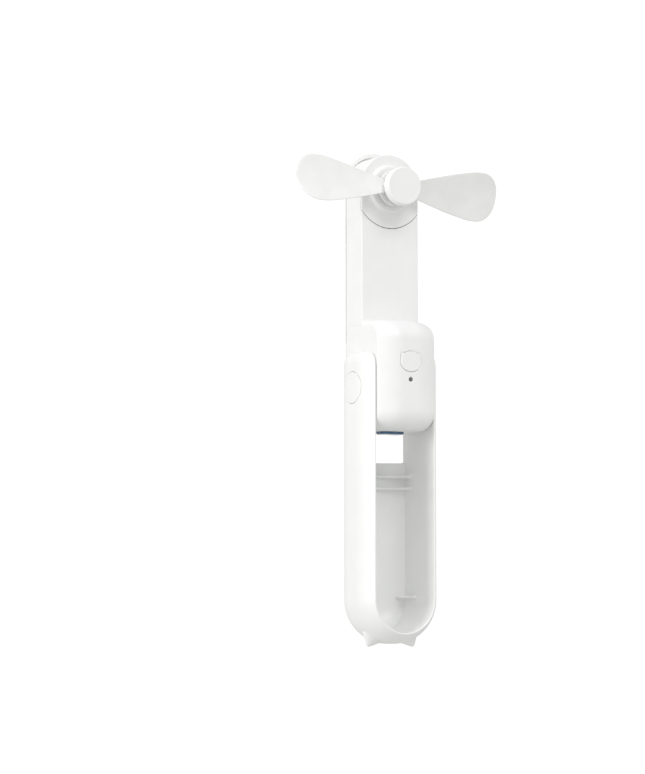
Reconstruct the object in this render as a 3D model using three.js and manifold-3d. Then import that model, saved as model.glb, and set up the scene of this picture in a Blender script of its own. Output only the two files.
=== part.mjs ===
// Folding pocket fan: a slim handle with a two-blade rotor at its head, and a channel-shaped cover
// that hinges on the handle's lower block. The model stands open, cover hanging straight down.
// Millimetres, +Z up, the fan blows towards -Y. The origin is the middle of the cover's hinge axis.
import * as THREE from 'three';
import { mergeVertices } from 'three/addons/utils/BufferGeometryUtils.js';
import Module from 'manifold-3d';

const wasm = await Module();
wasm.setup();

// Driving dimensions of the closed outline
const bodyWidth = 42;
const bodyDepth = 40;
const cornerRadius = 17;
const endRadius = 9.4; // rounding of the closed fan's bottom end
const coverReach = 100.2; // hinge to the centre of the cover's round end
const rimDepth = 14.4; // hinge to the plane of the cover's rim
const armThickness = 5.1; // cover's arms at their middle, which set the width left for the handle

// Handle
const blockBelow = 20.5;
const blockAbove = 32;
const blockCorner = 3;
const stemCrown = 1.2; // centre of the stem's arch, above the rotor axis
const hubDrop = 3.7; // rotor axis, below the centre of the cover's round end
const wall = 1.6;
const headPlateRadius = 18.7;
const headPlateThickness = 1.2;
const bossRadius = 11.4;
const bossHeight = 1.9;
const bossChamfer = 0.6;

// Cover
const armTop = 16.4;
const armFrontCorner = 6;
const armBackCorner = 13;
const cutOutEdge = 34.1; // hinge to the top edge of the cover's back wall
const ribHeights = [40.9, 46.6];
const ribThickness = 1.2;
const gussetDrop = 1.3; // below the centre of the round end
const gussetRun = 1.5;
const gussetSlope = 5.5;
const webFront = 3; // the ribs and gussets stop this far ahead of the hinge axis
const earAngle = THREE.MathUtils.degToRad(29.6); // either side of the round end's crown
const earHeight = 4.7; // ear tip beyond the outline
const earHalfWidth = 5;
const earSunk = 3.5;
const earPoint = 1.1;
const earFlatness = 0.62;

// Hinge hardware
const pinRadius = 3;
const pinHeadRadius = 4.5;
const pinHeadThickness = 0.9;
const washerThickness = 0.6;
const capRadius = 7.5;
const armWall = 1.3;

// Rotor
const rotorTilt = THREE.MathUtils.degToRad(2);
const hubRadius = 9.2;
const hubClearance = 1.6; // between the boss and the hub
const hubPlate = 1.8;
const hubCapThickness = 4.2;
const bladePinOffset = 5.2;
const bladePinRadius = 1;
const bladeEyeRadius = 2.8;
const bladeEyeHeight = 4.2;
const bladeRadius = 55;
const bladeHalfWidth = 11.5;
const bladeThickness = 1.2;
const bladeNeck = 2.6; // half width of the blade at its root
const bladeTipRound = 10;
const rootTwist = 0.38;
const tipTwist = 0.31;
const camber = 0.012;
const shaftRadius = 1;

// Inside
const cellRadius = 8.3;
const cellLength = 66;
const cellBottom = 12;
const motorRadius = 10.5;
const motorLength = 11.9;
const motorScrewSpread = 6.6;
const screwRadius = 0.8;
const screwHeadRadius = 1.5;
const screwHeadHeight = 0.9;
const screwReach = 4; // into the motor, from the back of the head plate
const wireRadius = 0.55;
const boardInset = 1.5;
const boardThickness = 1.2;
const boardBottom = -15;
const boardTop = 27;
const boardFront = 13.2;

// Controls and ports
const buttonHeight = 11.8; // above the hinge axis
const buttonHalfWidth = 5.6;
const buttonHalfHeight = 4.8;
const buttonProud = 0.25;
const buttonTravel = 0.6;
const buttonFlange = 0.9;
const ledHeight = 3.3;
const ledRadius = 0.75;
const ledSunk = 0.1;
const lensWidth = 12.6;
const lensDepth = 8;
const lensCorner = 2.2;
const lensProud = 1.2;
const portWidth = 8.9;
const portDepth = 3.2;
const portOffset = 8.5; // behind the hinge axis
const portLength = 7.2;
const portSheet = 0.35;

// Clearances
const fitGap = 0.3;
const seamGap = 0.4;
const caseGap = 0.12; // between the handle's two shells
const buttonGap = 0.15;

// Facets in each quarter of the closed outline, halved as three.js counts them
const sectionSteps = 5;

const outerHalf = bodyWidth / 2;
const frontHalf = bodyDepth / 2;
const armInner = outerHalf - armThickness;
const slabHalf = armInner - fitGap; // stem and block, which turn between the cover's arms
const rearSeam = rimDepth + seamGap;
const armSweep = Math.hypot(armTop, rimDepth) + 3 * fitGap;
const hubHeight = coverReach - hubDrop;

// The cell lies against the rear shell, and the stem's front face closes over it
const cellDepth = frontHalf - wall - fitGap - cellRadius;
const stemFace = wall + fitGap + seamGap / 4 - (cellDepth - cellRadius); // ahead of the hinge axis
const plateBack = stemFace - headPlateThickness;
const motorFront = plateBack - fitGap;
const screwHeadFront = stemFace + bossHeight - fitGap;
const boardWidth = 2 * (slabHalf - wall - boardInset);

// The rotor's layers, from the boss forwards
const hubBack = stemFace + bossHeight + hubClearance;
const hubPlateFront = hubBack + hubPlate;
const eyeBack = hubPlateFront + fitGap;
const eyeFront = eyeBack + bladeEyeHeight;
const hubCapBack = eyeFront + fitGap;

// The button's flange stands just behind the case wall
const flangeFront = frontHalf - wall - 2 * fitGap;
const flangeBack = flangeFront - buttonFlange;

const FAR = 200;

function solid(geometry) {
  geometry.deleteAttribute('normal');
  geometry.deleteAttribute('uv');
  const merged = mergeVertices(geometry, 1e-4);
  return new wasm.Manifold(new wasm.Mesh({
    numProp: 3,
    vertProperties: new Float32Array(merged.attributes.position.array),
    triVerts: new Uint32Array(merged.index.array),
  }));
}

function geometryOf(manifold) {
  const mesh = manifold.getMesh();
  const geometry = new THREE.BufferGeometry();
  geometry.setAttribute('position', new THREE.BufferAttribute(mesh.vertProperties, 3));
  geometry.setIndex(new THREE.BufferAttribute(mesh.triVerts, 1));
  return geometry;
}

function unite(first, ...others) {
  return others.reduce((sum, other) => sum.add(other), first);
}

function cut(first, ...others) {
  return others.reduce((rest, other) => rest.subtract(other), first);
}

// A box from its lowest to its highest corner
function block([x0, y0, z0], [x1, y1, z1]) {
  const box = new THREE.BoxGeometry(x1 - x0, y1 - y0, z1 - z0);
  return solid(box.translate((x0 + x1) / 2, (y0 + y1) / 2, (z0 + z1) / 2));
}

function roundedRect(width, height, radius) {
  const x = width / 2 - radius;
  const y = height / 2 - radius;
  const shape = new THREE.Shape();
  shape.absarc(x, y, radius, 0, Math.PI / 2);
  shape.absarc(-x, y, radius, Math.PI / 2, Math.PI);
  shape.absarc(-x, -y, radius, Math.PI, 1.5 * Math.PI);
  shape.absarc(x, -y, radius, 1.5 * Math.PI, 2 * Math.PI);
  return shape;
}

// A flat outline drawn in X and Y, made solid from z0 to z1
function extrudeUp(shape, z0, z1, curveSegments = 4) {
  const options = { depth: z1 - z0, bevelEnabled: false, curveSegments };
  return solid(new THREE.ExtrudeGeometry(shape, options).translate(0, 0, z0));
}

// A flat outline drawn in X and Z, made solid along Y from y0 to y1
function extrudeBack(shape, y0, y1, curveSegments = 4) {
  const options = { depth: y1 - y0, bevelEnabled: false, curveSegments };
  return solid(new THREE.ExtrudeGeometry(shape, options).rotateX(Math.PI / 2).translate(0, y1, 0));
}

// A profile of [radius, distance] pairs turned about the Y axis, distances running towards -Y
function turnedForward(profile, segments = 32) {
  const points = profile.map(([radius, ahead]) => new THREE.Vector2(radius, ahead));
  return new THREE.LatheGeometry(points, segments).rotateX(Math.PI);
}

// A profile of [radius, distance] pairs turned about the X axis
function turnedSideways(profile, segments = 24) {
  const points = profile.map(([radius, out]) => new THREE.Vector2(radius, out));
  return new THREE.LatheGeometry(points, segments).rotateZ(-Math.PI / 2);
}

function rodForward(radius, back, front, segments = 20) {
  return solid(turnedForward([[0, back], [radius, back], [radius, front], [0, front]], segments));
}

function rodSideways(radius, inner, outer, segments = 24) {
  return solid(turnedSideways([[0, inner], [radius, inner], [radius, outer], [0, outer]], segments));
}

function envelopeSection(inset) {
  return roundedRect(bodyWidth - 2 * inset, bodyDepth - 2 * inset, cornerRadius - inset);
}

// The closed outline as a straight bar with its lower end rounded
function endedBar(inset, bottom, top) {
  const round = endRadius - inset;
  const bar = new THREE.ExtrudeGeometry(envelopeSection(inset), {
    depth: top - bottom,
    bevelThickness: round,
    bevelSize: round,
    bevelOffset: -round,
    bevelSegments: 4,
    curveSegments: sectionSteps,
  });
  const lower = block([-FAR, -FAR, bottom - 1], [FAR, FAR, top]);
  return solid(bar.translate(0, 0, bottom + round)).intersect(lower);
}

// The closed outline's half section turned about a Y axis: the round end of the closed fan
function roundEnd(inset, height) {
  const radius = cornerRadius - inset;
  const flatX = outerHalf - cornerRadius;
  const flatY = frontHalf - cornerRadius;
  const steps = 2 * sectionSteps;
  const profile = [[0, -frontHalf + inset]];
  for (const side of [-1, 1]) {
    for (let i = 0; i <= steps; i++) {
      const angle = (Math.PI / 2) * (side < 0 ? i / steps - 1 : i / steps);
      profile.push([flatX + radius * Math.cos(angle), side * flatY + radius * Math.sin(angle)]);
    }
  }
  profile.push([0, frontHalf - inset]);
  return solid(turnedForward(profile, 40)).translate([0, 0, height]);
}

// A round-ended outline of constant width, solid along Y, from a base height up to its round end
function archPrism(half, base, centre, y0, y1) {
  const shape = new THREE.Shape();
  shape.moveTo(-half, base);
  shape.lineTo(half, base);
  shape.absarc(0, centre, half, 0, Math.PI);
  shape.closePath();
  return extrudeBack(shape, y0, y1, 14);
}

function upsideDown(manifold) {
  return manifold.rotate([180, 0, 0]);
}

// The cover as it stands when the fan is closed, over the handle's front
function closedCover() {
  const outer = unite(endedBar(0, -blockBelow, coverReach), roundEnd(0, coverReach));
  const hollowBar = extrudeUp(envelopeSection(wall), cutOutEdge - wall, coverReach, sectionSteps);
  const mouth = archPrism(armInner, cutOutEdge - wall, coverReach, 0, FAR);
  const inside = unite(hollowBar, roundEnd(wall, coverReach), mouth);
  const channel = archPrism(armInner, -FAR, coverReach, -FAR, FAR);
  const ribs = coverRibs();
  const cavity = cut(inside.intersect(channel), ...ribs);
  const cutOut = block([-armInner, -FAR, -FAR], [armInner, FAR, cutOutEdge]);
  const behindRim = block([-FAR, rimDepth, -FAR], [FAR, FAR, FAR]);
  const shell = cut(outer, cavity, cutOut, behindRim).intersect(armOutline());
  return cut(unite(shell, coverEar(-1), coverEar(1)), hingeHole(-1), hingeHole(1));
}

// Side view of the cover, which rounds the free ends of its two arms
function armOutline() {
  const front = -FAR / 2;
  const shape = new THREE.Shape();
  shape.moveTo(front, FAR);
  shape.lineTo(rimDepth, FAR);
  shape.lineTo(rimDepth, armFrontCorner - armTop);
  shape.absarc(rimDepth - armFrontCorner, armFrontCorner - armTop, armFrontCorner, 0, -Math.PI / 2, true);
  shape.lineTo(armBackCorner - frontHalf, -armTop);
  shape.absarc(armBackCorner - frontHalf, armBackCorner - armTop, armBackCorner, -Math.PI / 2, -Math.PI, true);
  shape.lineTo(-frontHalf, FAR / 2);
  shape.closePath();
  const options = { depth: bodyWidth + 2, bevelEnabled: false, curveSegments: 6 };
  const side = new THREE.ExtrudeGeometry(shape, options);
  side.applyMatrix4(new THREE.Matrix4().makeBasis(
    new THREE.Vector3(0, 1, 0), new THREE.Vector3(0, 0, 1), new THREE.Vector3(1, 0, 0)));
  return solid(side.translate(-outerHalf - 1, 0, 0));
}

// Two crescent ribs across the cover's back, and a short gusset in each back corner
function coverRibs() {
  const crescent = new THREE.Shape();
  crescent.moveTo(-FAR / 4, -FAR / 4);
  crescent.lineTo(FAR / 4, -FAR / 4);
  crescent.lineTo(FAR / 4, -webFront);
  crescent.lineTo(armInner, -webFront);
  crescent.absellipse(0, -webFront, armInner, frontHalf - 2 * wall - webFront, 0, -Math.PI, true);
  crescent.lineTo(-FAR / 4, -webFront);
  crescent.closePath();
  const plates = ribHeights.map((z) => extrudeUp(crescent, z - ribThickness / 2, z + ribThickness / 2, 7));
  for (const side of [-1, 1]) {
    const gusset = new THREE.Shape();
    gusset.moveTo(side * armInner, -webFront);
    gusset.lineTo(side * (armInner - gussetRun), -webFront);
    gusset.lineTo(side * (armInner - gussetSlope), -FAR / 8);
    gusset.lineTo(side * outerHalf, -FAR / 8);
    gusset.closePath();
    const middle = coverReach - gussetDrop;
    plates.push(extrudeUp(gusset, middle - ribThickness / 2, middle + ribThickness / 2));
  }
  return plates;
}

// A small pointed ear on the cover's round end
function coverEar(side) {
  const length = outerHalf + earHeight;
  const shoulder = length - earPoint / 2;
  const spread = (earHalfWidth - earPoint) / (shoulder - outerHalf);
  const profile = [[0, outerHalf - earSunk], [earHalfWidth + earSunk * spread, outerHalf - earSunk],
    [earPoint, shoulder], [0.6 * earPoint, length - 0.2], [0, length]];
  const points = profile.map(([radius, up]) => new THREE.Vector2(radius, up));
  const ear = new THREE.LatheGeometry(points, 20).scale(1, 1, earFlatness).rotateX(Math.PI / 2);
  return solid(ear.rotateY(side * earAngle).translate(0, 0, coverReach));
}

// Stepped hole for the hinge pin, its washer, its head and the round cap over it
function hingeHole(side) {
  const floor = armInner + armWall;
  const seat = floor + 2 * fitGap + washerThickness + pinHeadThickness;
  const hole = turnedSideways([
    [0, armInner - 1], [pinRadius + fitGap, armInner - 1], [pinRadius + fitGap, floor],
    [pinHeadRadius + fitGap, floor], [pinHeadRadius + fitGap, seat],
    [capRadius + fitGap / 2, seat], [capRadius + fitGap / 2, outerHalf + 1], [0, outerHalf + 1]]);
  return mirrored(solid(hole), side);
}

function mirrored(manifold, side) {
  return side < 0 ? manifold.mirror([1, 0, 0]) : manifold;
}

// Round cap set in the arm, following the arm's curved outside
function hingeCap(side) {
  const seat = armInner + armWall + 2 * fitGap + washerThickness + pinHeadThickness + fitGap;
  const disc = rodSideways(capRadius, seat, outerHalf + 1, 32);
  const skin = extrudeUp(envelopeSection(0), -FAR / 8, FAR / 8, sectionSteps);
  return mirrored(disc.intersect(skin), side);
}

function hingePin(side) {
  const inner = slabHalf - wall - fitGap;
  const headBack = armInner + armWall + 2 * fitGap + washerThickness;
  const pin = turnedSideways([
    [0, inner - 1.2], [pinHeadRadius, inner - 1.2], [pinHeadRadius, inner], [pinRadius, inner],
    [pinRadius, headBack], [pinHeadRadius, headBack], [pinHeadRadius, headBack + pinHeadThickness],
    [0, headBack + pinHeadThickness]]);
  return mirrored(solid(pin), side);
}

function hingeWasher(side) {
  const inner = armInner + armWall + fitGap;
  const outer = inner + washerThickness;
  const bore = pinRadius + fitGap;
  const ring = turnedSideways([
    [bore, inner], [pinHeadRadius, inner], [pinHeadRadius, outer], [bore, outer], [bore, inner]]);
  return mirrored(solid(ring), side);
}

// The handle's rear shell, whose outside is the back slice of the closed outline
function rearCase() {
  const outer = unite(endedBar(0, -blockBelow, coverReach), roundEnd(0, coverReach));
  const inside = unite(endedBar(wall, wall - blockBelow, coverReach), roundEnd(wall, coverReach));
  const lipHalf = slabHalf - wall;
  const tray = inside.intersect(block([-lipHalf, 0, -FAR], [lipHalf, FAR, FAR]));
  const ahead = block([-FAR, -FAR, -FAR], [FAR, rearSeam, FAR]);
  const besideArms = block([slabHalf, 0, -FAR], [FAR, FAR, armSweep]);
  return cut(outer, tray, ahead, besideArms, mirrored(besideArms, -1));
}

// Outline of the lower block, seen from the front
function blockOutline(inset) {
  const height = blockAbove + blockBelow - 2 * inset;
  const shape = roundedRect(2 * slabHalf - 2 * inset, height, blockCorner - inset);
  const middle = (blockAbove - blockBelow) / 2;
  return extrudeBack(shape, -FAR, FAR, 6).translate([0, 0, middle]);
}

// The lower block, rounded over at both ends as the closed outline is
function blockBody(inset) {
  const upright = endedBar(inset, inset - blockBelow, blockAbove - inset);
  const inverted = upsideDown(endedBar(inset, inset - blockAbove, blockBelow - inset));
  return upright.intersect(inverted).intersect(blockOutline(inset));
}

// The handle's front shell: stem and lower block in one, open at the back
function frontCase() {
  const back = rearSeam - caseGap;
  const crown = hubHeight + stemCrown;
  const stem = archPrism(slabHalf, 0, crown, -stemFace, back);
  const lower = blockBody(0);
  const outer = unite(stem, lower).intersect(block([-FAR, -FAR, -FAR], [FAR, back, FAR]));
  const stemRoom = archPrism(slabHalf - wall, 0, crown, wall - stemFace, FAR);
  const shell = cut(outer, stemRoom, blockBody(wall));
  return cut(shell, headPocket(), ...hingePinHoles(), controlHoles());
}

// Where the head plate sits: everything ahead of its back face, within its circle
function headPocket() {
  const pocket = rodForward(headPlateRadius + fitGap, plateBack - fitGap, stemFace + 1, 56);
  const motorHole = rodForward(motorRadius + fitGap, -FAR / 8, stemFace, 32);
  return unite(pocket, motorHole).translate([0, 0, hubHeight]);
}

function hingePinHoles() {
  return [-1, 1].map((side) => mirrored(rodSideways(pinRadius + fitGap / 2, slabHalf - wall - 1, slabHalf + 1), side));
}

function controlHoles() {
  const button = extrudeBack(buttonOutline(buttonGap), -FAR / 8, -boardFront, 8).translate([0, 0, buttonHeight]);
  const led = rodForward(ledRadius + fitGap, boardFront, FAR / 8).translate([0, 0, ledHeight]);
  const lens = extrudeUp(roundedRect(lensWidth + 2 * fitGap, lensDepth + 2 * fitGap, lensCorner + fitGap), -FAR / 8,
    wall - blockBelow + 1);
  const port = extrudeUp(roundedRect(portWidth + 2 * fitGap, portDepth + 2 * fitGap, portDepth / 2), -FAR / 8,
    wall - blockBelow + 1).translate([0, portOffset, 0]);
  return unite(button, led, lens, port);
}

// Front plate of the head, with a raised round boss over the motor
function headPlate() {
  const front = stemFace + bossHeight;
  const middle = (stemFace + plateBack) / 2;
  const arch = archPrism(slabHalf, 0, hubHeight + stemCrown, -stemFace, -plateBack);
  const disc = rodForward(headPlateRadius, plateBack - 1, stemFace + 1, 56).translate([0, 0, hubHeight]);
  const boss = solid(turnedForward([[0, middle], [bossRadius, middle], [bossRadius, front - bossChamfer],
    [bossRadius - bossChamfer, front], [0, front]], 40));
  const plate = unite(arch.intersect(disc), boss.translate([0, 0, hubHeight]));
  const shaftHole = rodForward(shaftRadius + 2, -FAR, FAR).translate([0, 0, hubHeight]);
  return cut(plate, shaftHole, ...motorScrewHoles());
}

function motorScrewHoles() {
  return [-1, 1].map((side) => {
    const shank = rodForward(screwRadius + fitGap, -FAR / 8, FAR / 8, 16);
    const head = rodForward(screwHeadRadius + fitGap, screwHeadFront - screwHeadHeight - fitGap, FAR / 8, 16);
    return unite(shank, head).translate([side * motorScrewSpread, 0, hubHeight]);
  });
}

function motorScrew(side) {
  const tip = plateBack - screwReach;
  const under = screwHeadFront - screwHeadHeight;
  const profile = [[0, tip], [screwRadius, tip], [screwRadius, under], [screwHeadRadius, under],
    [screwHeadRadius, screwHeadFront], [0, screwHeadFront]];
  return solid(turnedForward(profile, 16)).translate([side * motorScrewSpread, 0, hubHeight]);
}

function motorCan() {
  const back = motorFront - motorLength;
  const can = solid(turnedForward([[0, back - 1], [3, back - 1], [3, back], [motorRadius - 1, back],
    [motorRadius, back + 1], [motorRadius, motorFront - 0.6], [motorRadius - 0.6, motorFront], [0, motorFront]], 32));
  const shaftHole = rodForward(shaftRadius + fitGap, back + 2, FAR / 8);
  const screws = [-1, 1].map((side) => rodForward(screwRadius + fitGap, plateBack - screwReach - 1, FAR / 8, 16)
    .translate([side * motorScrewSpread, 0, 0]));
  return cut(can, shaftHole, ...screws).translate([0, 0, hubHeight]);
}

function motorShaft() {
  return rodForward(shaftRadius, motorFront - motorLength + 2 + fitGap, eyeFront - 1);
}

// Rear plate of the hub, with a boss on the shaft and a seat for each blade pin
function hubBase() {
  const bossOuter = bladePinOffset - bladeEyeRadius - fitGap;
  const profile = [[shaftRadius + fitGap, hubBack], [hubRadius - 1, hubBack], [hubRadius - 0.4, hubBack + 0.6],
    [hubRadius - 0.4, hubPlateFront], [bossOuter, hubPlateFront], [bossOuter, eyeFront],
    [shaftRadius + fitGap, eyeFront], [shaftRadius + fitGap, hubBack]];
  const seats = [-1, 1].map((side) => rodForward(bladePinRadius + fitGap / 2, 0, hubPlateFront + 1)
    .translate([side * bladePinOffset, 0, 0]));
  return cut(solid(turnedForward(profile, 32)), ...seats);
}

function hubCap() {
  const front = hubCapBack + hubCapThickness;
  const edge = 0.9;
  const profile = [[0, hubCapBack], [hubRadius, hubCapBack]];
  for (let i = 0; i <= 4; i++) {
    const angle = (Math.PI / 2) * (i / 4);
    profile.push([hubRadius - edge + edge * Math.cos(angle), front - edge + edge * Math.sin(angle)]);
  }
  profile.push([0, front]);
  return solid(turnedForward(profile, 40));
}

function bladePin() {
  return rodForward(bladePinRadius, hubBack + fitGap, eyeFront);
}

// How far each edge of the blade stands from its centre line, at a distance from the rotor axis
function bladeHalf(reach) {
  const along = Math.min(1, Math.max(0, reach - bladePinOffset) / (0.76 * bladeRadius - bladePinOffset));
  const rise = 1 - (1 - along) ** 1.25;
  const half = bladeNeck + (bladeHalfWidth - bladeNeck) * rise;
  const beyond = Math.max(0, reach - (bladeRadius - bladeTipRound)) / bladeTipRound;
  return half - bladeTipRound * (1 - Math.sqrt(Math.max(0, 1 - beyond * beyond)));
}

// Blade drawn along -X from its pin, as a twisted, cambered sheet with thinned edges
function blade() {
  const lengthSteps = 20;
  const widthSteps = 6;
  const rootReach = bladePinOffset + 1.2;
  const middle = (eyeBack + eyeFront) / 2;
  const positions = [];
  for (const face of [1, -1]) {
    for (let i = 0; i <= lengthSteps; i++) {
      const t = Math.sin((Math.PI / 2) * (i / lengthSteps));
      const reach = rootReach + (bladeRadius - 0.05 - rootReach) * t;
      const settled = Math.min(1, (reach - rootReach) / (0.55 * bladeRadius));
      const twist = THREE.MathUtils.lerp(rootTwist, tipTwist, settled);
      for (let j = 0; j <= widthSteps; j++) {
        const across = -Math.cos(Math.PI * (j / widthSteps));
        const v = across * Math.max(0.6, bladeHalf(reach));
        const thick = (bladeThickness / 2) * (0.35 + 0.65 * Math.sqrt(1 - across * across));
        const ahead = middle - twist * v + camber * v * v - bladeThickness / 3;
        positions.push(bladePinOffset - reach, -(ahead + face * thick), v);
      }
    }
  }
  const eye = rodForward(bladeEyeRadius, eyeBack, eyeFront);
  const bore = rodForward(bladePinRadius + fitGap / 2, 0, FAR / 8);
  return cut(unite(sheetSolid(positions, lengthSteps, widthSteps), eye), bore);
}

// Two grids of points, front face then back face, closed round their edge
function sheetSolid(positions, rows, columns) {
  const count = (rows + 1) * (columns + 1);
  const at = (face, i, j) => face * count + i * (columns + 1) + j;
  const index = [];
  const quad = (a, b, c, d) => index.push(a, b, c, a, c, d);
  for (let i = 0; i < rows; i++) {
    for (let j = 0; j < columns; j++) {
      quad(at(0, i, j), at(0, i, j + 1), at(0, i + 1, j + 1), at(0, i + 1, j));
      quad(at(1, i, j), at(1, i + 1, j), at(1, i + 1, j + 1), at(1, i, j + 1));
    }
    quad(at(0, i, 0), at(0, i + 1, 0), at(1, i + 1, 0), at(1, i, 0));
    quad(at(0, i + 1, columns), at(0, i, columns), at(1, i, columns), at(1, i + 1, columns));
  }
  for (let j = 0; j < columns; j++) {
    quad(at(0, 0, j + 1), at(0, 0, j), at(1, 0, j), at(1, 0, j + 1));
    quad(at(0, rows, j), at(0, rows, j + 1), at(1, rows, j + 1), at(1, rows, j));
  }
  const geometry = new THREE.BufferGeometry();
  geometry.setAttribute('position', new THREE.Float32BufferAttribute(positions, 3));
  geometry.setIndex(index);
  return solid(geometry);
}

// Rounded button outline with a small point at each upper corner
function buttonOutline(offset) {
  const a = buttonHalfWidth + offset;
  const b = buttonHalfHeight + offset;
  const [low, high] = [24, 56].map(THREE.MathUtils.degToRad);
  const pointX = 0.94 * a;
  const pointZ = 0.84 * b;
  const shape = new THREE.Shape();
  shape.moveTo(a * Math.cos(high), b * Math.sin(high));
  shape.absellipse(0, 0, a, b, high, Math.PI - high);
  shape.lineTo(-pointX, pointZ);
  shape.absellipse(0, 0, a, b, Math.PI - low, 2 * Math.PI + low);
  shape.lineTo(pointX, pointZ);
  shape.closePath();
  return shape;
}

function powerButton() {
  const key = extrudeBack(buttonOutline(0), -FAR / 8, 0.2 - flangeFront, 8);
  const flange = extrudeBack(buttonOutline(buttonFlange), -flangeFront, -flangeBack, 8);
  const skin = extrudeUp(envelopeSection(-buttonProud), -FAR / 8, FAR / 8, sectionSteps);
  return unite(key.translate([0, 0, buttonHeight]).intersect(skin), flange.translate([0, 0, buttonHeight]));
}

function buttonSwitch() {
  const top = flangeBack - buttonTravel - fitGap;
  const back = boardFront + fitGap;
  const body = block([-3, -(back + 1.6), buttonHeight - 3], [3, -back, buttonHeight + 3]);
  return unite(body, rodForward(1.6, back + 1, top).translate([0, 0, buttonHeight]));
}

function statusLed() {
  const skin = extrudeUp(envelopeSection(ledSunk), -FAR / 8, FAR / 8, sectionSteps);
  const guide = rodForward(ledRadius, boardFront + fitGap, frontHalf + 1).translate([0, 0, ledHeight]);
  return guide.intersect(skin);
}

function controlBoard() {
  const height = boardTop - boardBottom;
  const plate = extrudeBack(roundedRect(boardWidth, height, 2), -boardFront, boardThickness - boardFront);
  return plate.translate([0, 0, (boardTop + boardBottom) / 2]);
}

function batteryCell() {
  const top = cellBottom + cellLength;
  const points = [[0, cellBottom], [cellRadius - 0.5, cellBottom], [cellRadius, cellBottom + 0.5],
    [cellRadius, top - 0.5], [cellRadius - 0.5, top], [3, top], [3, top + 1.2], [0, top + 1.2]];
  const turned = new THREE.LatheGeometry(points.map(([r, z]) => new THREE.Vector2(r, z)), 32);
  return solid(turned.rotateX(Math.PI / 2)).translate([0, cellDepth, 0]);
}

function lightLens() {
  const body = extrudeUp(roundedRect(lensWidth, lensDepth, lensCorner), -blockBelow - lensProud + 0.4,
    wall - blockBelow - 0.2);
  const face = extrudeUp(roundedRect(lensWidth - 0.8, lensDepth - 0.8, lensCorner - 0.4),
    -blockBelow - lensProud, -blockBelow);
  return unite(body, face);
}

function torchLed() {
  const base = wall - blockBelow + 2.6;
  const points = [[0, base - 1.6], [1.1, base - 1.3], [1.6, base - 0.5], [2.4, base - 0.5], [2.4, base + 0.8],
    [0, base + 0.8]];
  return solid(new THREE.LatheGeometry(points.map(([r, z]) => new THREE.Vector2(r, z)), 24)
    .rotateX(Math.PI / 2));
}

// Oval charging socket with its tongue, open downwards
function chargePort() {
  const mouth = -blockBelow + 0.2;
  const back = mouth + portLength;
  const shell = extrudeUp(roundedRect(portWidth, portDepth, portDepth / 2 - 0.05), mouth, back);
  const room = extrudeUp(roundedRect(portWidth - 2 * portSheet, portDepth - 2 * portSheet,
    portDepth / 2 - portSheet - 0.05), mouth - 1, back - 3 * portSheet);
  const tongueHalf = portWidth / 2 - 4 * portSheet;
  const tongue = block([-tongueHalf, -portSheet, mouth + 2 * portSheet], [tongueHalf, portSheet, back - portSheet]);
  return unite(cut(shell, room), tongue).translate([0, portOffset, 0]);
}

// Insulated wire along hand-set points
function wire(points) {
  const path = new THREE.CatmullRomCurve3(points.map(([x, y, z]) => new THREE.Vector3(x, y, z)));
  const section = new THREE.Shape();
  section.absarc(0, 0, wireRadius, 0, 2 * Math.PI);
  const options = { steps: 16, bevelEnabled: false, extrudePath: path, curveSegments: 3 };
  return solid(new THREE.ExtrudeGeometry(section, options));
}

function motorLead(side) {
  const x = side * (slabHalf - wall - 2);
  const motorBack = motorLength - motorFront;
  return wire([[side * 9, 2.4 - boardFront, 20], [x, -6, 21], [x, 1.5, 24], [x, 3.6, 32], [x, 3.8, 50],
    [x, 3.8, cellBottom + cellLength - 4], [x, motorBack + 0.2, hubHeight - motorRadius - 2],
    [side * 6, motorBack + 1.2, hubHeight - 6.5]]);
}

function batteryLead(side) {
  const x = side * 4;
  return wire([[x, -boardFront + 2.4, -4], [x, -7, -6], [x, 0, -4], [x, cellDepth - 5, 2],
    [x * 0.7, cellDepth, cellBottom - 1.4]]);
}

const finishes = {
  whiteShell: { color: 0xf4f4f2, roughness: 0.42, metalness: 0 },
  whiteBlade: { color: 0xf1f1ee, roughness: 0.5, metalness: 0 },
  smoke: { color: 0x6f7276, roughness: 0.3, metalness: 0 },
  lensTint: { color: 0x2c3d63, roughness: 0.12, metalness: 0 },
  steel: { color: 0xb9bcc0, roughness: 0.35, metalness: 1 },
  board: { color: 0x1f5a3a, roughness: 0.5, metalness: 0 },
  cellWrap: { color: 0x3f7fb5, roughness: 0.4, metalness: 0 },
  black: { color: 0x1c1c1e, roughness: 0.5, metalness: 0 },
  red: { color: 0xb02a25, roughness: 0.5, metalness: 0 },
  emitter: { color: 0xe8d98a, roughness: 0.3, metalness: 0 },
};

function piece(name, manifold, finish) {
  const mesh = new THREE.Mesh(geometryOf(manifold), new THREE.MeshStandardMaterial(finishes[finish]));
  mesh.name = name;
  return mesh;
}

function handlePieces() {
  return [
    piece('rear_case', rearCase(), 'whiteShell'),
    piece('front_case', frontCase(), 'whiteShell'),
    piece('head_plate', headPlate(), 'whiteShell'),
    piece('status_led', statusLed(), 'smoke'),
    piece('light_lens', lightLens(), 'lensTint'),
    piece('torch_led', torchLed(), 'emitter'),
    piece('charge_port', chargePort(), 'steel'),
    piece('control_board', controlBoard(), 'board'),
    piece('button_switch', buttonSwitch(), 'black'),
    piece('battery_cell', batteryCell(), 'cellWrap'),
    piece('motor_can', motorCan(), 'steel'),
    ...sidePieces('motor_screw', motorScrew, 'steel', 'steel'),
    ...sidePieces('motor_lead', motorLead, 'red', 'black'),
    ...sidePieces('battery_lead', batteryLead, 'red', 'black'),
    ...sidePieces('hinge_pin', hingePin, 'steel', 'steel'),
    ...sidePieces('hinge_washer', hingeWasher, 'steel', 'steel'),
  ];
}

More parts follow.
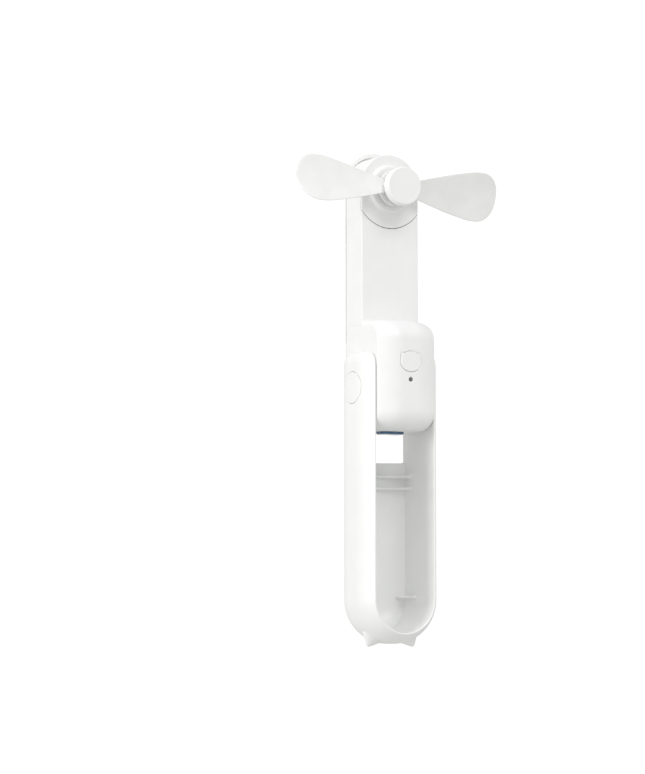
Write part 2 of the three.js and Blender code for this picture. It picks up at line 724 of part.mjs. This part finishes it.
function sidePieces(name, make, leftFinish, rightFinish) {
  return [piece(`${name}_left`, make(-1), leftFinish), piece(`${name}_right`, make(1), rightFinish)];
}

function coverPieces() {
  const caps = sidePieces('hinge_cap', hingeCap, 'whiteShell', 'whiteShell');
  return [piece('cover', upsideDown(closedCover()), 'whiteShell'), ...caps];
}

function rotor() {
  const group = new THREE.Group();
  group.position.set(0, 0, hubHeight);
  group.rotation.y = rotorTilt;
  group.add(piece('motor_shaft', motorShaft(), 'steel'));
  group.add(piece('hub_base', hubBase(), 'whiteBlade'));
  group.add(piece('hub_cap', hubCap(), 'whiteShell'));
  for (const [label, turn] of [['left', 0], ['right', Math.PI]]) {
    const half = new THREE.Group();
    half.rotation.y = turn;
    const pin = piece(`blade_pin_${label}`, bladePin(), 'steel');
    const vane = piece(`blade_${label}`, blade(), 'whiteBlade');
    pin.position.x = -bladePinOffset;
    vane.position.x = -bladePinOffset;
    half.add(pin, vane);
    group.add(half);
  }
  return group;
}

const fan = new THREE.Group();
fan.add(...handlePieces(), ...coverPieces(), rotor(), piece('power_button', powerButton(), 'whiteShell'));

export default fan;
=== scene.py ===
import math

import bpy
import numpy as np
from mathutils import Matrix, Vector


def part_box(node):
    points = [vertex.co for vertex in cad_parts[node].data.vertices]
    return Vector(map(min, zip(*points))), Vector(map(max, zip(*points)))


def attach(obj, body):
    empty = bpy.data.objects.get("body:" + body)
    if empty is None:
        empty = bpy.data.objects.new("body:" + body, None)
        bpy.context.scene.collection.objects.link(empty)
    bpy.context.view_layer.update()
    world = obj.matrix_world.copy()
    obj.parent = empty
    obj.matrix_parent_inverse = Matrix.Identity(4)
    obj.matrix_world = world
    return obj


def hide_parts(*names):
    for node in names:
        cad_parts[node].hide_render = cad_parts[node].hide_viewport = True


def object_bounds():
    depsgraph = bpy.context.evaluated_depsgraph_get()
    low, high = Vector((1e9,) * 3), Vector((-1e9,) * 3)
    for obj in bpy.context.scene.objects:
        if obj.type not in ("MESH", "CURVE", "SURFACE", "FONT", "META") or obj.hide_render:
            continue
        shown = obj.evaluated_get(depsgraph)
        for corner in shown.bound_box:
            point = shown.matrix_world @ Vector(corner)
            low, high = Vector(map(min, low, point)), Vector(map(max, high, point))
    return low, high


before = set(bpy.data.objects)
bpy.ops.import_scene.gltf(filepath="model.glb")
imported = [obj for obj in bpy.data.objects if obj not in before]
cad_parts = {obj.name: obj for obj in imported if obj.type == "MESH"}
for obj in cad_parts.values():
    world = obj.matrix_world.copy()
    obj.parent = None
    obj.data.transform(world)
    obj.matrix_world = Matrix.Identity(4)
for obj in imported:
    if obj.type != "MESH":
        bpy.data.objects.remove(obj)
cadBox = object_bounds()
mm = 0.001
print("stage: frame loaded")

# Shapes shared by several pieces, all in millimetres
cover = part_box("cover")
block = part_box("front_case")
outline = {
    "halfWidth": cover[1].x / mm,
    "halfDepth": cover[1].y / mm,
    "cornerRadius": 17.0,
    "endRadius": 9.4,
    "wall": 1.6,
    "blockBottom": block[0].z / mm,
    "slabHalf": block[1].x / mm,
    "blockTop": 32.0,
    "blockCorner": 3.0,
}
stemFoot = outline["blockTop"] + 0.5  # above this the front shell is stem and no longer block
hubHeight = sum(c.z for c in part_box("hub_cap")) / 2 / mm
roundCentre = hubHeight + 3.7  # centre of the cover's round end, on the closed fan
rotorTilt = math.radians(2)
stemCrown = hubHeight + 1.2  # centre of the arch at the top of the stem


def colour(hexCode):
    channels = [int(hexCode[i:i + 2], 16) / 255 for i in (1, 3, 5)]
    return (*[c / 12.92 if c <= 0.04045 else ((c + 0.055) / 1.055) ** 2.4 for c in channels], 1)


def addNode(material, kind, inputs=None, **settings):
    tree = material.node_tree
    node = tree.nodes.new(kind)
    for name, value in settings.items():
        setattr(node, name, value)
    for socket, value in (inputs or {}).items():
        if isinstance(value, bpy.types.NodeSocket):
            tree.links.new(value, node.inputs[socket])
        else:
            node.inputs[socket].default_value = value
    return node


def newMaterial(name):
    material = bpy.data.materials.new(name)
    material.use_nodes = True
    material.node_tree.nodes.clear()
    return material


def finishMaterial(material, surface):
    addNode(material, "ShaderNodeOutputMaterial", {"Surface": surface.outputs[0]})
    return material


def mixedColour(material, factor, first, second):
    ramp = addNode(material, "ShaderNodeValToRGB", {"Fac": factor})
    ramp.color_ramp.elements[0].position = 0.35
    ramp.color_ramp.elements[1].position = 0.65
    ramp.color_ramp.elements[0].color = colour(first)
    ramp.color_ramp.elements[1].color = colour(second)
    return ramp.outputs["Color"]


# Moulded plastics: ABS takes the fine spark-eroded grain of its mould, and soft grades are duller
def mouldedPlastic(name, look):
    material = newMaterial(name)
    place = addNode(material, "ShaderNodeTexCoord").outputs["Object"]
    grain = addNode(material, "ShaderNodeTexNoise", {
        "Vector": place, "Scale": 1 / (look["grainSize"] * mm), "Detail": 3.0, "Roughness": 0.55})
    flow = addNode(material, "ShaderNodeTexNoise", {
        "Vector": place, "Scale": 1 / (look["flowSize"] * mm), "Detail": 2.0, "Roughness": 0.5})
    speck = addNode(material, "ShaderNodeTexVoronoi", {
        "Vector": place, "Scale": 1 / (2.2 * look["grainSize"] * mm)})
    roughness = addNode(material, "ShaderNodeMapRange", {
        "Value": flow.outputs["Fac"], "From Min": 0.3, "From Max": 0.7,
        "To Min": look["roughness"] - 0.05, "To Max": look["roughness"] + 0.05})
    height = addNode(material, "ShaderNodeMath", {0: grain.outputs["Fac"], 1: speck.outputs["Distance"]},
                     operation="ADD")
    bump = addNode(material, "ShaderNodeBump", {
        "Height": height.outputs[0], "Strength": look["grainStrength"], "Distance": look["grainDepth"] * mm})
    surface = addNode(material, "ShaderNodeBsdfPrincipled", {
        "Base Color": mixedColour(material, flow.outputs["Fac"], look["colour"], look["flowColour"]),
        "Roughness": roughness.outputs["Result"], "IOR": look["ior"], "Normal": bump.outputs["Normal"],
        "Coat Weight": look.get("coat", 0.0), "Coat Roughness": 0.12})
    return finishMaterial(material, surface)


# Turned and stamped steel: fine tool lines across a dull bright metal
def toolMarkedSteel(name, look):
    material = newMaterial(name)
    place = addNode(material, "ShaderNodeTexCoord").outputs["Object"]
    stretched = addNode(material, "ShaderNodeMapping", {"Vector": place, "Scale": look["lineStretch"]})
    lines = addNode(material, "ShaderNodeTexNoise", {
        "Vector": stretched.outputs["Vector"], "Scale": 1 / (look["lineWidth"] * mm), "Detail": 4.0})
    smudge = addNode(material, "ShaderNodeTexNoise", {"Vector": place, "Scale": 1 / (6 * mm), "Detail": 2.0})
    roughness = addNode(material, "ShaderNodeMapRange", {
        "Value": smudge.outputs["Fac"],
        "To Min": look["roughness"] - 0.08, "To Max": look["roughness"] + 0.1})
    bump = addNode(material, "ShaderNodeBump", {
        "Height": lines.outputs["Fac"], "Strength": 0.35, "Distance": 0.02 * mm})
    surface = addNode(material, "ShaderNodeBsdfPrincipled", {
        "Base Color": mixedColour(material, lines.outputs["Fac"], look["colour"], look["lineColour"]),
        "Metallic": 1.0, "Roughness": roughness.outputs["Result"], "Normal": bump.outputs["Normal"]})
    return finishMaterial(material, surface)


# Circuit board: green solder mask over copper tracks that stand slightly proud
def solderMask(name, look):
    material = newMaterial(name)
    place = addNode(material, "ShaderNodeTexCoord").outputs["Object"]
    tracks = addNode(material, "ShaderNodeTexBrick", {
        "Vector": place, "Scale": 1 / (look["trackSpacing"] * mm), "Mortar Size": 0.06,
        "Color1": colour(look["colour"]), "Color2": colour(look["colour"]),
        "Mortar": colour(look["trackColour"])})
    bump = addNode(material, "ShaderNodeBump", {
        "Height": tracks.outputs["Fac"], "Strength": 0.5, "Distance": 0.04 * mm})
    haze = addNode(material, "ShaderNodeTexNoise", {"Vector": place, "Scale": 1 / (5 * mm)})
    roughness = addNode(material, "ShaderNodeMapRange", {
        "Value": haze.outputs["Fac"], "To Min": 0.28, "To Max": 0.42})
    surface = addNode(material, "ShaderNodeBsdfPrincipled", {
        "Base Color": tracks.outputs["Color"], "Roughness": roughness.outputs["Result"],
        "IOR": 1.5, "Normal": bump.outputs["Normal"]})
    return finishMaterial(material, surface)


print("stage: materials")
plasticLooks = {
    # grain is really about 0.05 mm; it is drawn coarser so that it shows
    "shell": {"colour": "#f6f6f5", "flowColour": "#f3f4f3", "roughness": 0.36, "ior": 1.53,
              "grainSize": 0.35, "flowSize": 14.0, "grainStrength": 0.16, "grainDepth": 0.03, "coat": 0.0},
    "blade": {"colour": "#f3f3f2", "flowColour": "#efefee", "roughness": 0.44, "ior": 1.5, "grainSize": 0.5,
              "flowSize": 9.0, "grainStrength": 0.14, "grainDepth": 0.03},
    "smoke": {"colour": "#6b6e73", "flowColour": "#5c5f64", "roughness": 0.18, "ior": 1.58, "grainSize": 0.3,
              "flowSize": 1.2, "grainStrength": 0.05, "grainDepth": 0.01, "coat": 0.5},
    "lens": {"colour": "#2f5f86", "flowColour": "#274f72", "roughness": 0.1, "ior": 1.58, "grainSize": 0.6,
             "flowSize": 3.0, "grainStrength": 0.04, "grainDepth": 0.01, "coat": 0.7},
    "resin": {"colour": "#e6d27a", "flowColour": "#dcc566", "roughness": 0.2, "ior": 1.54, "grainSize": 0.3,
              "flowSize": 1.0, "grainStrength": 0.05, "grainDepth": 0.01},
    "black": {"colour": "#1d1d1f", "flowColour": "#242426", "roughness": 0.48, "ior": 1.5, "grainSize": 0.25,
              "flowSize": 4.0, "grainStrength": 0.25, "grainDepth": 0.03},
    "wrap": {"colour": "#3c79b4", "flowColour": "#356fa8", "roughness": 0.3, "ior": 1.54, "grainSize": 1.6,
             "flowSize": 9.0, "grainStrength": 0.2, "grainDepth": 0.05},
    "redPvc": {"colour": "#b3262a", "flowColour": "#a52024", "roughness": 0.42, "ior": 1.54,
               "grainSize": 0.3, "flowSize": 3.0, "grainStrength": 0.2, "grainDepth": 0.02},
    "blackPvc": {"colour": "#18181a", "flowColour": "#202022", "roughness": 0.42, "ior": 1.54,
                 "grainSize": 0.3, "flowSize": 3.0, "grainStrength": 0.2, "grainDepth": 0.02},
}
steelLook = {"colour": "#b9bcc0", "lineColour": "#a6a9ad", "roughness": 0.32, "lineWidth": 0.3,
             "lineStretch": (1.0, 0.12, 1.0)}
boardLook = {"colour": "#1f5a3a", "trackColour": "#2f7a50", "trackSpacing": 3.0}

shellAbs = mouldedPlastic("mouldedAbsWhite", plasticLooks["shell"])
bladeAbs = mouldedPlastic("mouldedSoftAbsWhite", plasticLooks["blade"])
smokedPc = mouldedPlastic("smokedPolycarbonate", plasticLooks["smoke"])
tintedPc = mouldedPlastic("tintedPolycarbonate", plasticLooks["lens"])
castResin = mouldedPlastic("castResinYellow", plasticLooks["resin"])
blackAbs = mouldedPlastic("mouldedAbsBlack", plasticLooks["black"])
shrinkWrap = mouldedPlastic("shrinkWrapBlue", plasticLooks["wrap"])
redPvc = mouldedPlastic("extrudedPvcRed", plasticLooks["redPvc"])
blackPvc = mouldedPlastic("extrudedPvcBlack", plasticLooks["blackPvc"])
turnedSteel = toolMarkedSteel("turnedSteel", steelLook)
greenMask = solderMask("solderMaskGreen", boardLook)


def addPiece(name, mesh, body, material, replaced):
    piece = bpy.data.objects.new(name, mesh)
    bpy.context.scene.collection.objects.link(piece)
    mesh.materials.clear()
    mesh.materials.append(material)
    mesh.shade_smooth()
    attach(piece, body)
    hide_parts(*replaced)
    return piece


def applyModifiers(piece):
    graph = bpy.context.evaluated_depsgraph_get()
    mesh = bpy.data.meshes.new_from_object(piece.evaluated_get(graph))
    piece.modifiers.clear()
    piece.data = mesh
    return mesh


def addModifier(piece, kind, **settings):
    modifier = piece.modifiers.new(kind, kind)
    for name, value in settings.items():
        setattr(modifier, name, value)
    return modifier


# Signed distances to the surfaces that the faceted frame only approximates, in millimetres.
# Points that a surface does not cover are told they are farAway, so nothing snaps them to it
farAway = 99.0
def roundedRectDistance(a, b, halfA, halfB, radius):
    qa = np.abs(a) - halfA + radius
    qb = np.abs(b) - halfB + radius
    return np.hypot(np.maximum(qa, 0), np.maximum(qb, 0)) + np.minimum(np.maximum(qa, qb), 0) - radius


def closedOutline(inset=0.0, flipped=False):
    def distance(p):
        x, y, z = p[:, 0], p[:, 1], p[:, 2]
        if flipped:
            y, z = -y, -z
        across = np.where(z > roundCentre, np.hypot(x, z - roundCentre), x)
        side = roundedRectDistance(across, y, outline["halfWidth"] - inset, outline["halfDepth"] - inset,
                                   outline["cornerRadius"] - inset)
        radius = outline["endRadius"] - inset
        below = outline["blockBottom"] + inset + radius - z
        inward = side + radius
        return (np.hypot(np.maximum(inward, 0), np.maximum(below, 0))
                + np.minimum(np.maximum(inward, below), 0) - radius)
    return distance


def blockTopEnd(inset=0.0):
    def distance(p):
        side = roundedRectDistance(p[:, 0], p[:, 1], outline["halfWidth"] - inset,
                                   outline["halfDepth"] - inset, outline["cornerRadius"] - inset)
        radius = outline["endRadius"] - inset
        above = p[:, 2] - (outline["blockTop"] - inset - radius)
        inward = side + radius
        rounded = (np.hypot(np.maximum(inward, 0), np.maximum(above, 0))
                  + np.minimum(np.maximum(inward, above), 0) - radius)
        return np.where(p[:, 2] > stemFoot, farAway, rounded)
    return distance


def blockSides(inset=0.0):
    middle = (outline["blockTop"] + outline["blockBottom"]) / 2
    half = (outline["blockTop"] - outline["blockBottom"]) / 2

    def distance(p):
        return roundedRectDistance(p[:, 0], p[:, 2] - middle, outline["slabHalf"] - inset, half - inset,
                                   outline["blockCorner"] - inset)
    return distance


# The block is what all three of its outlines hold, so the farthest of the distances counts
def blockBody(inset=0.0):
    limits = [closedOutline(inset), blockTopEnd(inset), blockSides(inset)]

    def distance(p):
        return np.max([limit(p) for limit in limits], 0)
    return distance


def forwardRod(radius, height):
    def distance(p):
        return np.hypot(p[:, 0], p[:, 2] - height) - radius
    return distance


def archEnd(half, height, flipped=False, lowest=-math.inf):
    def distance(p):
        z = -p[:, 2] if flipped else p[:, 2]
        arch = np.where(z > height, np.hypot(p[:, 0], z - height), np.abs(p[:, 0])) - half
        return np.where(z < lowest, farAway, arch)
    return distance


def sidewaysRod(radius, y=0.0, z=0.0):
    def distance(p):
        return np.hypot(p[:, 1] - y, p[:, 2] - z) - radius
    return distance


def armEnds(corner, radius):
    # corner is the y and z of the rounding's centre, and each sign says which quarter is round
    cy, cz, signY, signZ = corner

    def distance(p):
        ly, lz = (p[:, 1] - cy) * signY, (p[:, 2] - cz) * signZ
        inside = (ly > 0) & (lz > 0)
        return np.where(inside, np.hypot(ly, lz) - radius, farAway)
    return distance


# Moves the vertices that are near a true surface, and face along it, onto that surface
def snapTo(mesh, surfaces, reach):
    count = len(mesh.vertices)
    points = np.empty(count * 3)
    mesh.vertices.foreach_get("co", points)
    points = points.reshape(-1, 3) / mm
    normals = np.empty(count * 3)
    mesh.vertex_normals.foreach_get("vector", normals)
    normals = normals.reshape(-1, 3)
    step = 0.01
    for distance in surfaces:
        d = distance(points)
        near = np.flatnonzero(np.abs(d) < reach)
        if not len(near):
            continue
        spots = points[near]
        slope = np.stack([(distance(spots + axis * step) - distance(spots - axis * step)) / (2 * step)
                          for axis in np.eye(3)], 1)
        size = np.linalg.norm(slope, axis=1)
        slope /= np.maximum(size, 1e-6)[:, None]
        facing = np.abs((slope * normals[near]).sum(1))
        good = (facing > 0.8) & (size > 0.5) & (size < 1.5)
        points[near[good]] -= slope[good] * d[near][good][:, None]
    mesh.vertices.foreach_set("co", (points * mm).ravel())
    mesh.update()


snapReaches = (0.34, 0.12)  # a wide pass takes up the facets, and a narrow one settles it


# A frame piece's own shape as one even mesh, with its edges softened and its true curves restored
def mouldedCopy(name, node, body, material, look, surfaces):
    piece = addPiece(name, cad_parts[node].data.copy(), body, material, [node])
    addModifier(piece, "REMESH", mode="VOXEL", voxel_size=look["voxel"] * mm, use_smooth_shade=True)
    addModifier(piece, "SMOOTH", factor=0.5, iterations=look["edgeSoftening"])
    mesh = applyModifiers(piece)
    for reach in snapReaches:
        snapTo(mesh, surfaces, reach)
    addModifier(piece, "SMOOTH", factor=0.5, iterations=3)
    if "grown" in look:
        addModifier(piece, "DISPLACE", strength=look["grown"] * mm, mid_level=0.0)
    addModifier(piece, "DECIMATE", ratio=look["keep"])
    mesh = applyModifiers(piece)
    mesh.materials.clear()
    mesh.materials.append(material)
    mesh.shade_smooth()
    addModifier(piece, "WEIGHTED_NORMAL", weight=50, keep_sharp=True)
    print(f"  {name}: {len(mesh.polygons)} faces")
    return piece


# Handle shells
shellLook = {"voxel": 0.38, "edgeSoftening": 2, "keep": 0.5}
rimDepth = -cover[0].y / mm
handleSurfaces = [blockBody(), blockBody(outline["wall"]),
                  archEnd(outline["slabHalf"], stemCrown, lowest=stemFoot),
                  archEnd(outline["slabHalf"] - outline["wall"], stemCrown, lowest=stemFoot)]
mouldedCopy("frontCase", "front_case", "handle", shellAbs, shellLook, handleSurfaces)
mouldedCopy("rearCase", "rear_case", "handle", shellAbs, shellLook,
            [closedOutline(), closedOutline(outline["wall"])])
headLook = {"voxel": 0.25, "edgeSoftening": 2, "keep": 0.5, "discRadius": 18.7, "bossRadius": 11.4}
mouldedCopy("headPlate", "head_plate", "handle", shellAbs, headLook,
            [forwardRod(headLook["discRadius"], hubHeight), forwardRod(headLook["bossRadius"], hubHeight),
             archEnd(outline["slabHalf"], stemCrown)])
print("stage: handle")

# Folding cover and its caps
coverLook = {"voxel": 0.32, "edgeSoftening": 2, "keep": 0.4, "armTop": 16.4, "armFront": 6.0,
             "armBack": 13.0, "channelHalf": outline["slabHalf"] + 0.3}
coverSurfaces = [
    closedOutline(0.0, True), closedOutline(outline["wall"], True),
    archEnd(coverLook["channelHalf"], roundCentre, True),
    armEnds((coverLook["armFront"] - rimDepth, coverLook["armTop"] - coverLook["armFront"], -1, 1),
            coverLook["armFront"]),
    armEnds((outline["halfDepth"] - coverLook["armBack"], coverLook["armTop"] - coverLook["armBack"], 1, 1),
            coverLook["armBack"]),
    sidewaysRod(7.65),
]
mouldedCopy("foldingCover", "cover", "cover", shellAbs, coverLook, coverSurfaces)
capLook = {"voxel": 0.16, "edgeSoftening": 3, "keep": 0.6, "radius": 7.5}
for side in ("left", "right"):
    mouldedCopy(f"hingeCap.{side}", f"hinge_cap_{side}", "cover", shellAbs, capLook,
                [closedOutline(0.0, True), sidewaysRod(capLook["radius"])])
print("stage: cover")

# Power button, light window and lens
buttonLook = {"voxel": 0.14, "edgeSoftening": 3, "keep": 0.6, "proud": 0.25, "grown": 0.06}
mouldedCopy("powerButton", "power_button", "button", shellAbs, buttonLook,
            [closedOutline(-buttonLook["proud"])])
ledLook = {"voxel": 0.08, "edgeSoftening": 3, "keep": 0.6}
mouldedCopy("statusWindow", "status_led", "handle", smokedPc, ledLook, [])
lensLook = {"voxel": 0.12, "edgeSoftening": 3, "keep": 0.6}
mouldedCopy("torchLens", "light_lens", "handle", tintedPc, lensLook, [])
print("stage: controls")


# Rotor. Its own axes run along -X, towards the front and up, and are then tilted and raised
def rotorPlace(turn=0.0):
    return (Matrix.Translation((0, 0, hubHeight * mm)) @ Matrix.Rotation(rotorTilt + turn, 4, "Y"))


def meshFrom(name, points, faces, place):
    mesh = bpy.data.meshes.new(name)
    mesh.from_pydata([place @ (Vector(p) * mm) for p in points], [], faces)
    mesh.validate()
    mesh.update()
    return mesh


# A profile of radius and distance ahead, with each corner rounded, turned about the rotor's axis
def turned(profile, steps=96):
    points, faces = [], []
    rows = len(profile)
    for i in range(steps):
        angle = 2 * math.pi * i / steps
        for radius, ahead in profile:
            points.append((radius * math.cos(angle), -ahead, radius * math.sin(angle)))
        for j in range(rows - 1):
            a, b = i * rows + j, ((i + 1) % steps) * rows + j
            faces.append((a, a + 1, b + 1, b))
    return points, faces


def roundedProfile(corners, radii, steps=5):
    profile = []
    for i, corner in enumerate(corners):
        here = Vector(corner)
        if i == 0 or i == len(corners) - 1 or radii[i] == 0:
            profile.append(tuple(here))
            continue
        before = (Vector(corners[i - 1]) - here).normalized()
        after = (Vector(corners[i + 1]) - here).normalized()
        for k in range(steps + 1):
            t = k / steps
            start, end = here + before * radii[i], here + after * radii[i]
            profile.append(tuple(start.lerp(here, t).lerp(here.lerp(end, t), t)))
    return profile


hubCap = {"radius": 9.2, "back": 10.6, "front": 14.8, "edge": 0.9, "dish": 0.12}
points, faces = turned(roundedProfile(
    [(0.01, hubCap["back"]), (hubCap["radius"] - 1.2, hubCap["back"]),
     (hubCap["radius"], hubCap["back"] + 0.1), (hubCap["radius"], hubCap["front"]),
     (hubCap["radius"] - 2.2, hubCap["front"] - hubCap["dish"]),
     (0.01, hubCap["front"] - hubCap["dish"])], [0, 0.3, 0.3, hubCap["edge"], 0.6, 0]))
piece = addPiece("hubCap", meshFrom("hubCap", points, faces, rotorPlace()), "rotor", shellAbs,
                 ["hub_cap"])
addModifier(piece, "WEIGHTED_NORMAL", weight=50)

hubBase = {"radius": 8.8, "back": 4.0, "front": 5.8, "core": 2.1, "coreFront": 10.3, "bore": 1.3}
points, faces = turned(roundedProfile(
    [(hubBase["bore"], hubBase["coreFront"]), (hubBase["bore"], hubBase["back"]),
     (hubBase["radius"], hubBase["back"]), (hubBase["radius"], hubBase["front"]),
     (hubBase["core"], hubBase["front"]), (hubBase["core"], hubBase["coreFront"]),
     (hubBase["bore"], hubBase["coreFront"])], [0, 0.1, 0.8, 0.3, 0.4, 0.2, 0]))
addPiece("hubBase", meshFrom("hubBase", points, faces, rotorPlace()), "rotor", bladeAbs,
         ["hub_base"])

# The thickness is less than the frame's, so that the folded blades pass each other
bladeShape = {"pin": 5.2, "radius": 55.0, "halfWidth": 11.5, "neck": 2.6, "tipRound": 10.0,
              "thickness": 1.08, "rootTwist": 0.38, "tipTwist": 0.31, "camber": 0.012,
              "eyeRadius": 2.8, "eyeBack": 6.1, "eyeFront": 10.3, "pinBore": 1.15}


def bladeHalf(reach):
    b = bladeShape
    along = min(1, max(0, reach - b["pin"]) / (0.76 * b["radius"] - b["pin"]))
    half = b["neck"] + (b["halfWidth"] - b["neck"]) * (1 - (1 - along) ** 1.25)
    beyond = max(0, reach - (b["radius"] - b["tipRound"])) / b["tipRound"]
    return half - b["tipRound"] * (1 - math.sqrt(max(0, 1 - beyond * beyond)))


# One blade along -X from the hub: a twisted, cambered sheet with rounded edges, and the eye on its pin
def bladeMesh(name, turn):
    b = bladeShape
    long, wide = 72, 20
    root = b["pin"] + 1.2
    middle = (b["eyeBack"] + b["eyeFront"]) / 2
    points, faces = [], []
    ring = 2 * wide
    for i in range(long + 1):
        t = math.sin(math.pi / 2 * i / long)
        reach = root + (b["radius"] - 0.02 - root) * t
        settled = min(1, (reach - root) / (0.55 * b["radius"]))
        twist = b["rootTwist"] + (b["tipTwist"] - b["rootTwist"]) * settled
        for k in range(ring):
            angle = 2 * math.pi * k / ring
            across = -math.cos(angle)
            v = across * max(0.6, bladeHalf(reach))
            thin = 0.35 + 0.65 * math.sqrt(max(0, 1 - across * across))
            thick = b["thickness"] / 2 * thin * np.sign(round(math.sin(angle), 6))
            ahead = middle - twist * v + b["camber"] * v * v - b["thickness"] / 3
            points.append((-reach, -(ahead + thick), v))
        if i:
            for k in range(ring):
                a, c = (i - 1) * ring + k, i * ring + k
                d, e = (i - 1) * ring + (k + 1) % ring, i * ring + (k + 1) % ring
                faces.append((a, c, e, d))
    faces.append(tuple(range(ring)))
    faces.append(tuple(reversed(range(long * ring, (long + 1) * ring))))
    eyePoints, eyeFaces = turned(roundedProfile(
        [(b["pinBore"], b["eyeBack"]), (b["eyeRadius"], b["eyeBack"]), (b["eyeRadius"], b["eyeFront"]),
         (b["pinBore"], b["eyeFront"]), (b["pinBore"], b["eyeBack"])], [0, 0.4, 0.4, 0.1, 0]), 40)
    start = len(points)
    points += [(x - b["pin"], y, z) for x, y, z in eyePoints]
    faces += [tuple(i + start for i in face) for face in eyeFaces]
    return meshFrom(name, points, faces, rotorPlace(turn))


for side, turn in (("left", 0.0), ("right", math.pi)):
    piece = addPiece(f"blade.{side}", bladeMesh(f"blade.{side}", turn), f"{side}_blade", bladeAbs,
                     [f"blade_{side}"])
    addModifier(piece, "WEIGHTED_NORMAL", weight=50)
print("stage: rotor")

# Frame pieces whose shape is already right
carriedFinishes = {
    turnedSteel: ["charge_port", "motor_can", "motor_shaft", "motor_screw_left", "motor_screw_right",
                  "hinge_pin_left", "hinge_pin_right", "hinge_washer_left", "hinge_washer_right",
                  "blade_pin_left", "blade_pin_right"],
    greenMask: ["control_board"],
    blackAbs: ["button_switch"],
    shrinkWrap: ["battery_cell"],
    castResin: ["torch_led"],
    redPvc: ["motor_lead_left", "battery_lead_left"],
    blackPvc: ["motor_lead_right", "battery_lead_right"],
}
for material, names in carriedFinishes.items():
    for name in names:
        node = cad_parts[name]
        node.data.materials.clear()
        node.data.materials.append(material)
print("stage: inner pieces")

# Studio
studio = {"wallColour": "#ffffff", "ambient": 0.70, "floorColour": "#d9d9d7", "floorDrop": 0.30,
          "floorSize": 4.0}
lamps = {
    # name: place and aim in metres, size in metres, power in watts
    "keyLeft": ((-2.4, -0.25, 0.6), (0, 0, 0), 0.8, 20.5),
    "fillFront": ((0.0, -1.7, 1.5), (0, 0, 0), 1.2, 13.5),
    "topSoft": ((0.0, 0.3, 1.9), (0, 0, 0), 1.2, 2.0),
}


def addLamp(name, place, aim, size, power):
    light = bpy.data.lights.new(name, "AREA")
    light.shape = "DISK"
    light.size = size
    light.energy = power
    lamp = bpy.data.objects.new(name, light)
    lamp.location = place
    lamp.rotation_mode = "QUATERNION"
    lamp.rotation_quaternion = (Vector(aim) - Vector(place)).to_track_quat("-Z", "Y")
    bpy.context.scene.collection.objects.link(lamp)


for name, (place, aim, size, power) in lamps.items():
    addLamp(name, place, aim, size, power)

half = studio["floorSize"] / 2
level = cadBox[0].z - studio["floorDrop"]
floorMesh = bpy.data.meshes.new("studioFloor")
floorMesh.from_pydata([(x * half, y * half, level) for x, y in ((-1, -1), (1, -1), (1, 1), (-1, 1))],
                      [], [(0, 1, 2, 3)])
floor = bpy.data.objects.new("studioFloor", floorMesh)
bpy.context.scene.collection.objects.link(floor)
floorPaper = newMaterial("paperWhite")
fibre = addNode(floorPaper, "ShaderNodeTexNoise", {
    "Vector": addNode(floorPaper, "ShaderNodeTexCoord").outputs["Object"], "Scale": 400.0, "Detail": 4.0})
floorMesh.materials.append(finishMaterial(floorPaper, addNode(floorPaper, "ShaderNodeBsdfPrincipled", {
    "Base Color": mixedColour(floorPaper, fibre.outputs["Fac"], studio["floorColour"], "#d4d4d2"),
    "Roughness": 0.9})))

world = bpy.data.worlds.new("studioWorld")
bpy.context.scene.world = world
world.use_nodes = True
world.node_tree.nodes.clear()
seen = addNode(world, "ShaderNodeLightPath").outputs["Is Camera Ray"]
soft = addNode(world, "ShaderNodeBackground", {"Color": colour(studio["wallColour"]),
                                               "Strength": studio["ambient"]})
white = addNode(world, "ShaderNodeBackground", {"Color": colour(studio["wallColour"]), "Strength": 1.05})
backdrop = addNode(world, "ShaderNodeMixShader", {0: seen, 1: soft.outputs[0], 2: white.outputs[0]})
addNode(world, "ShaderNodeOutputWorld", {"Surface": backdrop.outputs[0]})
bpy.context.scene.view_settings.view_transform = "Standard"

shot = {"azimuth": -29.0, "elevation": -5.0, "lens": 135.0, "sensor": 36.0, "viewHeight": 0.3703,
        "aimRight": -0.0322, "aimUp": 0.0012}
azimuth, elevation = math.radians(shot["azimuth"]), math.radians(shot["elevation"])
back = Vector((math.sin(azimuth) * math.cos(elevation), -math.cos(azimuth) * math.cos(elevation),
               math.sin(elevation)))
right = Vector((math.cos(azimuth), math.sin(azimuth), 0))
up = back.cross(right)
aim = right * shot["aimRight"] + up * shot["aimUp"]
cameraData = bpy.data.cameras.new("camera")
cameraData.lens = shot["lens"]
cameraData.sensor_width = shot["sensor"]
cameraData.clip_start = 0.05
camera = bpy.data.objects.new("camera", cameraData)
camera.location = aim + back * (shot["viewHeight"] * shot["lens"] / shot["sensor"])
camera.rotation_mode = "QUATERNION"
camera.rotation_quaternion = (-back).to_track_quat("-Z", "Y")
bpy.context.scene.collection.objects.link(camera)
bpy.context.scene.camera = camera
print("stage: studio")
